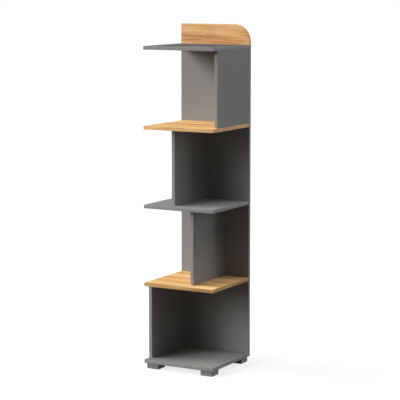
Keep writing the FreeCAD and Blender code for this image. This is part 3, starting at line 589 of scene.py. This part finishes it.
def finish_band(name, face_group, **values):
    """Plastic in a group's colour: paler where it was scraped, and dark along the glue.

    Its pattern follows the strip, from where each vertex lies on it.
    """
    material, tree, output = new_material(name)
    laid = add_node(tree, "Attribute", {}, attribute_name="laid")["Vector"]
    depth = add_parts(tree, laid)["Z"]
    face = use_group(tree, face_group, Place=add_mapping(tree, laid, (1, 1, 0)), **values)
    scraped = add_range(tree, depth, *SCRAPED, 0, SCRAPED_SHARE)
    pale = add_mix(tree, scraped, face["Color"], SCRAPED_TONE)
    glue = add_range(tree, depth, BAND - 2 * GLUE_LINE, BAND - GLUE_LINE, 0, GLUE_SHARE)
    add_surface(tree, output, {
        "Base Color": add_mix(tree, glue, pale, GLUE_TONE),
        "Roughness": add_math(tree, "SUBTRACT", face["Roughness"], BAND_SMOOTHER),
        "Specular IOR Level": BAND_GLOSS,
    }, face["Height"], BAND_RELIEF)
    return material


def shaded(colour, share):
    """A colour, darker or lighter by one share."""
    return (*(part * share for part in colour[:3]), 1)


# The grey strips take the board grey made lighter, painted light for the brighter lit front edges.
grey_band = finish_band("grey_edge_band", melamine, Color=shaded(GREY, GREY_STRIP_PAINTED_LIGHT))
oak_band = finish_band("oak_edge_band", oak_print, Heart=OAK_STRIP_HEART, Broad=FAINT_STAVES,
                       Contrast=OAK_STRIP_CONTRAST, **CROWN_OAK)
# The lower oak shelf's strips take the shelf oak made darker by a fixed share.
darkened_shelf_oak = {tone: shaded(colour, LOWER_STRIP_DARKENING) for tone, colour in SHELF_OAK.items()}
darkened_oak_band = finish_band("darkened_oak_edge_band", oak_print, Heart=LOWER_STRIP_HEART, Broad=FAINT_STAVES,
                         Contrast=LOWER_STRIP_CONTRAST, **darkened_shelf_oak)

for shelf in ("top_shelf", "middle_shelf", "bottom_shelf"):
    add_piece(shelf + "_strips", shelf_bands(shelf), grey_band, "grey_edge_band", shelf + "_edge_bands")
for shelf, band in (("upper_oak_shelf", oak_band), ("lower_oak_shelf", darkened_oak_band)):
    add_piece(shelf + "_strips", shelf_bands(shelf), band, "oak_edge_band", shelf + "_edge_bands")

for divider in DIVIDERS:
    (left, front, low), (right, _, high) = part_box(divider + "_edge_band")
    strip = straight_band((left, front, high), (left, front, low), FORWARDS, RIGHTWARDS, right - left)
    add_piece(divider + "_strip", [strip], grey_band, "grey_edge_band", divider + "_edge_band")

(left, front, low), (right, back, high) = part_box("spine_edge_bands")
add_piece("spine_strips", [
    straight_band((left, front, low), (left, front, high), LEFTWARDS, BACKWARDS, back - front),
    straight_band((right, front, high), (right, front, low), RIGHTWARDS, BACKWARDS, back - front),
], grey_band, "grey_edge_band", "spine_edge_bands")


# ---- crown strips: one bent up the right side, round the large corner and along the top ----
# The plastic is warmed to take the bend. A short straight strip closes the crown's left end below it.

CROWN_RADIUS = 0.080
ARC_STEPS = 33

(left, front, low), (right, back, high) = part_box("crown_edge_bands")
turn = np.linspace(0, np.pi / 2, ARC_STEPS)
arc_out = np.stack([np.cos(turn), 0 * turn, np.sin(turn)], axis=1)
arc = np.array([right - CROWN_RADIUS, front, high - CROWN_RADIUS]) + CROWN_RADIUS * arc_out
bend_path = np.concatenate([[[left, front, high]], arc[::-1], [[right, front, low]]])
bend_out = np.concatenate([arc_out[-1:], arc_out[::-1], arc_out[:1]])
add_piece("crown_strips", [
    band_mesh(bend_path, bend_out, BACKWARDS, back - front),
    straight_band((left, front, low), (left, front, high - BAND), LEFTWARDS, BACKWARDS, back - front),
], oak_band, "oak_edge_band", "crown_edge_bands")


# ---- feet: moulded in dark grey plastic, matt, with a fine eroded grain ----
# They are square blocks, hollow and ribbed below. The covers of the cam locks are the same plastic.

FEET = ("front_left_foot", "front_right_foot", "rear_left_foot", "rear_right_foot")
MOULDED_GREY = (0.235, 0.232, 0.226, 1)
FLOW_SCALE = 30
FLOW_SHARE = 0.25
FLOW_SHADE = 0.8
MOULD_GRAIN_SCALE = 2200
MOULD_ROUGHNESS = (0.48, 0.62)
MOULD_GLOSS = 0.2
MOULD_RELIEF = 0.35


def finish_moulding(name, colour):
    """Moulded plastic: slow marks of the flow into the mould, under a close grain."""
    material, tree, output = new_material(name)
    place = object_place(tree)
    grain = add_noise(tree, place, MOULD_GRAIN_SCALE, detail=2, roughness=0.7)
    flow = add_math(tree, "MULTIPLY", add_noise(tree, place, FLOW_SCALE, detail=3), FLOW_SHARE)
    add_surface(tree, output, {
        "Base Color": add_mix(tree, flow, colour, shaded(colour, FLOW_SHADE)),
        "Roughness": add_range(tree, grain, *NOISE_SPAN, *MOULD_ROUGHNESS),
        "Specular IOR Level": MOULD_GLOSS,
    }, grain, MOULD_RELIEF)
    return material


moulding = finish_moulding("grey_moulding", MOULDED_GREY)
for moulded in (*FEET, "cam_covers"):
    dress(moulded, moulding)


# ---- panel screws: driven from behind, through the spine, into the shelves and dividers ----
# Zinc-plated steel with a coarse rolled thread, a countersunk head and a hexagon socket. A pair holds each
# shelf and each divider.

SHELVES = ("top_shelf", "upper_oak_shelf", "middle_shelf", "lower_oak_shelf", "bottom_shelf")
SCREW_SIDES = 24
SCREW_LENGTH = 0.050
SCREW_RADIUS = 0.0035
SCREW_CORE = 0.0024
SCREW_PITCH = 0.003
SCREW_SHANK = 0.010
SCREW_TAPER = 0.001
SCREW_TIP_RADIUS = 0.6 * SCREW_CORE
SCREW_HEAD_RADIUS = 0.005
SOCKET_FLATS = 0.004
SOCKET_DEPTH = 0.0035
SHELF_SCREW_OFFSET = 0.135
DIVIDER_SCREW_INSET = 0.090
CORNER = 0.00012
ROWS_PER_TURN = 12
FLANK = 0.28

ZINC_PLATE = (0.50, 0.50, 0.48, 1)
PLATE_ROUGHNESS = 0.46
BLOOM_SCALE = 220
BLOOM_SPAN = (0.35, 0.65)
BLOOM_SHADE = 0.75
BLOOM_ROUGHNESS = (-0.08, 0.1)
METAL_GRAIN_SCALE = 2600
METAL_GRAIN_ROUGHNESS = 0.08
METAL_GRAIN_RELIEF = 0.5
METAL_RELIEF = 0.2
METAL_RELIEF_DEPTH = 0.00005


def finish_metal(name, colour, roughness):
    """Plated or cast metal: bloom and handling marks change its tone and gloss, over a fine grain."""
    material, tree, output = new_material(name)
    place = object_place(tree)
    bloom = add_noise(tree, place, BLOOM_SCALE, detail=4, roughness=0.65)
    grain = add_noise(tree, place, METAL_GRAIN_SCALE, detail=2)
    dulled = add_range(tree, bloom, *BLOOM_SPAN, 0, 1)
    rough = add_range(tree, bloom, *NOISE_SPAN, *(roughness + change for change in BLOOM_ROUGHNESS))
    add_surface(tree, output, {
        "Base Color": add_mix(tree, dulled, colour, shaded(colour, BLOOM_SHADE)),
        "Roughness": add_math(tree, "MULTIPLY_ADD", grain, METAL_GRAIN_ROUGHNESS, rough),
        "Metallic": 1.0,
    }, add_math(tree, "MULTIPLY_ADD", grain, METAL_GRAIN_RELIEF, bloom), METAL_RELIEF, METAL_RELIEF_DEPTH)
    return material


def angles_round(sides):
    """Equal steps of angle once round the axis."""
    return np.arange(sides) * 2 * np.pi / sides


def turned_shell(sides, *rings):
    """A closed shell turned round Z, from its lower pole to its upper one.

    Each ring is (radius, height); the radius may vary round the axis, and either may hold several rows. The
    vertex at angle t is (radius cos t, radius sin t, height).
    """
    radii = np.concatenate([np.broadcast_to(radius, (np.size(height), sides)) for radius, height in rings])
    heights = np.concatenate([np.ravel(height) for radius, height in rings])[:, None] + 0 * radii
    angle = angles_round(sides)
    grid = np.stack([radii * np.cos(angle), radii * np.sin(angle), heights], axis=-1).reshape(-1, 3)
    index = np.arange(len(grid)).reshape(radii.shape)
    after = np.roll(index, -1, axis=1)
    low_pole, high_pole = np.full(sides, len(grid)), np.full(sides, len(grid) + 1)
    faces = np.concatenate([
        np.stack([index[:-1], after[:-1], after[1:]], axis=-1).reshape(-1, 3),
        np.stack([index[:-1], after[1:], index[1:]], axis=-1).reshape(-1, 3),
        np.stack([low_pole, after[0], index[0]], axis=-1),
        np.stack([high_pole, index[-1], after[-1]], axis=-1),
    ])
    poles = [(0, 0, heights[0, 0]), (0, 0, heights[-1, 0])]
    return np.concatenate([grid, poles]), faces


def thread(sides, low, high, core, outer, pitch):
    """The rings of a thread: core + (outer - core) * (1 - distance / flank).

    The distance is counted in turns from the ridge, which climbs one pitch in each turn round the axis and
    runs out over one pitch at both ends.
    """
    heights = np.linspace(low, high, int(ROWS_PER_TURN * (high - low) / pitch) + 1)[:, None]
    distance = np.abs((heights / pitch - np.arange(sides) / sides) % 1 - 0.5)
    run_out = np.clip(np.minimum(heights - low, high - heights) / pitch, 0, 1)
    ridge = np.clip(1 - distance / FLANK, 0, 1) * run_out
    return core + (outer - core) * ridge, heights


def hexagon(sides, flats):
    """The radius of a hexagon round the axis: half its flats over the cosine of the angle from a flat."""
    return flats / 2 / np.cos(angles_round(sides) % (np.pi / 3) - np.pi / 6)


def set_copies(shell, head_direction, spots):
    """Copies of a shell at several spots, turned so that its own +Z looks along a row axis."""
    along = np.array(head_direction, float)
    across = np.array(RIGHTWARDS, float)
    turn = np.stack([across, np.cross(along, across), along])
    return [(shell[0] @ turn + np.array(spot), shell[1]) for spot in spots]


zinc_steel = finish_metal("zinc_steel", ZINC_PLATE, PLATE_ROUGHNESS)
socket = hexagon(SCREW_SIDES, SOCKET_FLATS)
panel_screw = turned_shell(
    SCREW_SIDES,
    (SCREW_TIP_RADIUS, -SCREW_LENGTH),
    thread(SCREW_SIDES, SCREW_TAPER - SCREW_LENGTH, -SCREW_SHANK, SCREW_CORE, SCREW_RADIUS, SCREW_PITCH),
    (SCREW_RADIUS, SCREW_TAPER - SCREW_SHANK),
    (SCREW_RADIUS, SCREW_RADIUS - SCREW_HEAD_RADIUS),
    (SCREW_HEAD_RADIUS, -CORNER),
    (SCREW_HEAD_RADIUS - CORNER, 0),
    (socket + CORNER, 0),
    (socket, -CORNER),
    (socket, -SOCKET_DEPTH),
)
spine_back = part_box("spine_panel")[1][1]
screw_spots = {
    "shelf_screws": [(side * SHELF_SCREW_OFFSET, spine_back, middle_of(shelf, 2))
                     for shelf in SHELVES for side in (-1, 1)],
    "divider_screws": [(middle_of(divider, 0), spine_back, height)
                       for divider in DIVIDERS
                       for height in (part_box(divider)[0][2] + DIVIDER_SCREW_INSET,
                                      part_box(divider)[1][2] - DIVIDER_SCREW_INSET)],
}
for node, spots in screw_spots.items():
    screws = set_copies(panel_screw, BACKWARDS, spots)
    add_piece(node + "_threaded", screws, zinc_steel, "zinc_steel", node)


# ---- steel plates and their screws: let into the back, to hold the crown and to hang the case ----
# The plates are punched from zinc-plated strip. Their short screws have countersunk heads with a cross
# recess, given as (an arm's length, half its width, depth).

PLATE_SCREW_LENGTH = 0.012
PLATE_SCREW_RADIUS = 0.0017
PLATE_SCREW_CORE = 0.0011
PLATE_SCREW_PITCH = 0.0014
PLATE_SCREW_TIP = 0.002
PLATE_SCREW_NECK = 0.0024
PLATE_SCREW_HEAD = 0.0033
PLATE_SCREW_CROSS = (0.0019, 0.0005, 0.0015)
PLATE_SCREW_SPREAD = 0.018
JOINING_PLATE_OFFSET = 0.110
HANGER_SCREW_SPREAD = 0.0185
POINT_RADIUS = 0.0001
THREAD_GAP = 0.0001
RECESS_SIDES = 32
RECESS_FLOOR = 0.5
LEAST_SINE = 0.01


def cross_recess(arm, half_width):
    """The radius of a cross round the axis.

    It is the nearer of an arm's end, arm / cos(angle), and its side, half width / sin(angle).
    """
    turned = np.abs((angles_round(RECESS_SIDES) + np.pi / 4) % (np.pi / 2) - np.pi / 4)
    return np.minimum(arm / np.cos(turned), half_width / np.maximum(np.sin(turned), LEAST_SINE))


small_cross = cross_recess(*PLATE_SCREW_CROSS[:2])
plate_screw = turned_shell(
    RECESS_SIDES,
    (POINT_RADIUS, -PLATE_SCREW_LENGTH),
    (PLATE_SCREW_CORE, PLATE_SCREW_TIP - PLATE_SCREW_LENGTH),
    thread(RECESS_SIDES, PLATE_SCREW_TIP + THREAD_GAP - PLATE_SCREW_LENGTH, -PLATE_SCREW_NECK,
           PLATE_SCREW_CORE, PLATE_SCREW_RADIUS, PLATE_SCREW_PITCH),
    (PLATE_SCREW_RADIUS, PLATE_SCREW_RADIUS - PLATE_SCREW_HEAD),
    (PLATE_SCREW_HEAD, -CORNER),
    (PLATE_SCREW_HEAD - CORNER, 0),
    (small_cross + CORNER / 2, 0),
    (small_cross, -CORNER / 2),
    (RECESS_FLOOR * small_cross, -PLATE_SCREW_CROSS[2]),
)
joint_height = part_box("spine_panel")[1][2]
hanger_height = middle_of("wall_hanger_plate", 2)
plate_screw_spots = {
    "joining_plate_screws": [(side * JOINING_PLATE_OFFSET, spine_back, joint_height + rise)
                             for side in (-1, 1) for rise in (-PLATE_SCREW_SPREAD, PLATE_SCREW_SPREAD)],
    "wall_hanger_screws": [(0, spine_back, hanger_height + rise)
                           for rise in (-HANGER_SCREW_SPREAD, HANGER_SCREW_SPREAD)],
}
for node, spots in plate_screw_spots.items():
    screws = set_copies(plate_screw, BACKWARDS, spots)
    add_piece(node + "_threaded", screws, zinc_steel, "zinc_steel", node)
for plate in ("joining_plates", "wall_hanger_plate"):
    dress(plate, zinc_steel)


# ---- cam locks: a die-cast cam in the divider grips the head of a bolt that stands in the shelf ----
# The bolt has a short coarse thread, a smooth sleeve, a thin neck and a coned head with a cross recess; its
# heights are counted from the shelf's face. A moulded cover closes each cam's bore.

DOWNWARDS = (0, 0, -1)
CAM_INSET = 0.045
CAST_ZINC = (0.55, 0.55, 0.54, 1)
CAST_ROUGHNESS = 0.5
BOLT_THREAD_LENGTH = 0.010
BOLT_THREAD_RADIUS = 0.0025
BOLT_CORE = 0.0017
BOLT_PITCH = 0.0018
BOLT_TIP_RADIUS = 0.0006
BOLT_TIP = 0.0012
BOLT_SLEEVE = 0.0032
BOLT_SHOULDER = 0.0255
BOLT_NECK = 0.0018
BOLT_HEAD = 0.0034
BOLT_HEAD_SEAT = 0.0291
BOLT_HEAD_RIM = 0.0307
BOLT_TOP = 0.0319
BOLT_CROSS = (0.0021, 0.0006, 0.0018)

bolt_cross = cross_recess(*BOLT_CROSS[:2])
cam_bolt = turned_shell(
    RECESS_SIDES,
    (BOLT_TIP_RADIUS, -BOLT_THREAD_LENGTH),
    (BOLT_CORE, BOLT_TIP - BOLT_THREAD_LENGTH),
    thread(RECESS_SIDES, BOLT_TIP + THREAD_GAP - BOLT_THREAD_LENGTH, -2 * THREAD_GAP, BOLT_CORE,
           BOLT_THREAD_RADIUS, BOLT_PITCH),
    (BOLT_CORE, 0),
    (BOLT_SLEEVE - CORNER, 0),
    (BOLT_SLEEVE, CORNER),
    (BOLT_SLEEVE, BOLT_SHOULDER - CORNER),
    (BOLT_SLEEVE - CORNER, BOLT_SHOULDER),
    (BOLT_NECK, BOLT_SHOULDER),
    (BOLT_NECK, BOLT_HEAD_SEAT),
    (BOLT_HEAD, BOLT_HEAD_RIM),
    (BOLT_HEAD, BOLT_TOP - CORNER),
    (BOLT_HEAD - CORNER, BOLT_TOP),
    (bolt_cross, BOLT_TOP),
    (RECESS_FLOOR * bolt_cross, BOLT_TOP - BOLT_CROSS[2]),
)
bolts = []
for divider in DIVIDERS:
    cam_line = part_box(divider + "_edge_band")[0][1] + CAM_INSET
    low, high = (corner[2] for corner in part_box(divider))
    bolts += set_copies(cam_bolt, UPWARDS, [(middle_of(divider, 0), cam_line, low)])
    bolts += set_copies(cam_bolt, DOWNWARDS, [(middle_of(divider, 0), cam_line, high)])
add_piece("cam_bolts_threaded", bolts, zinc_steel, "zinc_steel", "cam_bolts")
dress("cam_locks", finish_metal("cast_zinc", CAST_ZINC, CAST_ROUGHNESS))


# ---- foot screws: two up through the bosses of each foot into the bottom shelf ----
# Zinc-plated, with a domed head and a cross recess. They are driven from below.

FOOT_SCREW_SEAT = 0.017
FOOT_SCREW_LENGTH = 0.020
FOOT_SCREW_RADIUS = 0.002
FOOT_SCREW_CORE = 0.0013
FOOT_SCREW_PITCH = 0.0018
FOOT_SCREW_TIP = 0.003
FOOT_SCREW_NECK = 0.0015
FOOT_SCREW_HEAD = 0.004
FOOT_SCREW_HEAD_HEIGHT = 0.0026
FOOT_SCREW_RIM = 0.0008
FOOT_SCREW_CROSS = (0.0017, 0.0005, 0.0017)
DOME = math.radians(62)
DOME_STEPS = 6
BOSS_OFFSET = 0.014

dome_turn = np.linspace(0, DOME, DOME_STEPS)
dome_rise = (FOOT_SCREW_HEAD_HEIGHT - FOOT_SCREW_RIM) / math.sin(DOME)
dome = [(FOOT_SCREW_HEAD * np.cos(turn), FOOT_SCREW_RIM + dome_rise * np.sin(turn))
        for turn in dome_turn]
foot_cross = cross_recess(*FOOT_SCREW_CROSS[:2])
foot_screw = turned_shell(
    RECESS_SIDES,
    (POINT_RADIUS, -FOOT_SCREW_LENGTH),
    (FOOT_SCREW_CORE, FOOT_SCREW_TIP - FOOT_SCREW_LENGTH),
    thread(RECESS_SIDES, FOOT_SCREW_TIP + THREAD_GAP - FOOT_SCREW_LENGTH, -FOOT_SCREW_NECK,
           FOOT_SCREW_CORE, FOOT_SCREW_RADIUS, FOOT_SCREW_PITCH),
    (FOOT_SCREW_CORE, 0),
    (FOOT_SCREW_HEAD - CORNER, 0),
    (FOOT_SCREW_HEAD, CORNER),
    *dome,
    (foot_cross, FOOT_SCREW_HEAD_HEIGHT),
    (RECESS_FLOOR * foot_cross, FOOT_SCREW_HEAD_HEIGHT - FOOT_SCREW_CROSS[2]),
)
foot_screw_spots = [(middle_of(foot, 0) + side * BOSS_OFFSET, middle_of(foot, 1) + side * BOSS_OFFSET,
                     FOOT_SCREW_SEAT) for foot in FEET for side in (-1, 1)]
add_piece("foot_screws_threaded", set_copies(foot_screw, DOWNWARDS, foot_screw_spots), zinc_steel,
          "zinc_steel", "foot_screws")


# ---- wood dowels: they keep the boards in line while the screws and cams pull them together ----
# Turned from beech, with sixteen pressed flutes that let air and glue escape, and chamfered ends. A dowel's
# hold is the depth of its near end in the board that it starts in.

DOWEL_RADIUS = 0.004
DOWEL_LENGTH = 0.030
DOWEL_CHAMFER = 0.0008
DOWEL_HOLD = 0.011
FLUTES = 16
FLUTE_DEPTH = 0.00025
SIDES_PER_FLUTE = 4
SHELF_DOWEL_OFFSET = 0.075
CROWN_DOWEL_OFFSET = 0.050
CROWN_DOWEL_HOLD = 0.015
DIVIDER_DOWEL_INSET = 0.190
BEECH_TONES = ((0.35, (0.46, 0.29, 0.16, 1)), (0.6, (0.74, 0.55, 0.36, 1)))
FLECK_SCALE = 700
FLECK_SHARE = 0.65
RIPPLE_SCALE = 90
BEECH_ROUGHNESS = (0.7, 0.55)


def finish_beech():
    """Pale wood with short brown flecks over slower changes of tone."""
    material, tree, output = new_material("beech")
    place = object_place(tree)
    flecks = add_noise(tree, place, FLECK_SCALE, detail=3)
    ripple = add_noise(tree, place, RIPPLE_SCALE, detail=2)
    surface = add_node(tree, "BsdfPrincipled", {
        "Base Color": add_ramp(tree, add_blend(tree, FLECK_SHARE, ripple, flecks), BEECH_TONES),
        "Roughness": add_range(tree, flecks, *NOISE_SPAN, *BEECH_ROUGHNESS),
    })[0]
    tree.links.new(surface, output.inputs["Surface"])
    return material


dowel_sides = FLUTES * SIDES_PER_FLUTE
flute_turn = np.arange(dowel_sides) * 2 * np.pi / SIDES_PER_FLUTE
fluted = DOWEL_RADIUS - FLUTE_DEPTH * (0.5 + 0.5 * np.cos(flute_turn)) ** 2
dowel = turned_shell(
    dowel_sides,
    (DOWEL_RADIUS - DOWEL_CHAMFER, 0),
    (fluted - FLUTE_DEPTH / 2, DOWEL_CHAMFER),
    (fluted, 2 * DOWEL_CHAMFER),
    (fluted, DOWEL_LENGTH - 2 * DOWEL_CHAMFER),
    (fluted - FLUTE_DEPTH / 2, DOWEL_LENGTH - DOWEL_CHAMFER),
    (DOWEL_RADIUS - DOWEL_CHAMFER, DOWEL_LENGTH),
)
beech = finish_beech()
shelf_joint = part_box("spine_panel")[0][1]
shelf_dowels = set_copies(dowel, FORWARDS, [
    (side * SHELF_DOWEL_OFFSET, shelf_joint + DOWEL_HOLD, middle_of(shelf, 2))
    for shelf in SHELVES for side in (-1, 1)
])
crown_dowels = set_copies(dowel, UPWARDS, [
    (side * CROWN_DOWEL_OFFSET, middle_of("spine_panel", 1), joint_height - CROWN_DOWEL_HOLD)
    for side in (-1, 1)
])
divider_dowels = []
for divider in DIVIDERS:
    across = middle_of(divider, 0)
    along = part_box(divider + "_edge_band")[0][1] + DIVIDER_DOWEL_INSET
    low, high = (corner[2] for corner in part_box(divider))
    divider_dowels += set_copies(dowel, UPWARDS, [(across, along, low - DOWEL_HOLD)])
    divider_dowels += set_copies(dowel, DOWNWARDS, [(across, along, high + DOWEL_HOLD)])
for node, shells in (("shelf_dowels", shelf_dowels), ("crown_dowels", crown_dowels),
                     ("divider_dowels", divider_dowels)):
    add_piece(node + "_fluted", shells, beech, "beech", node)
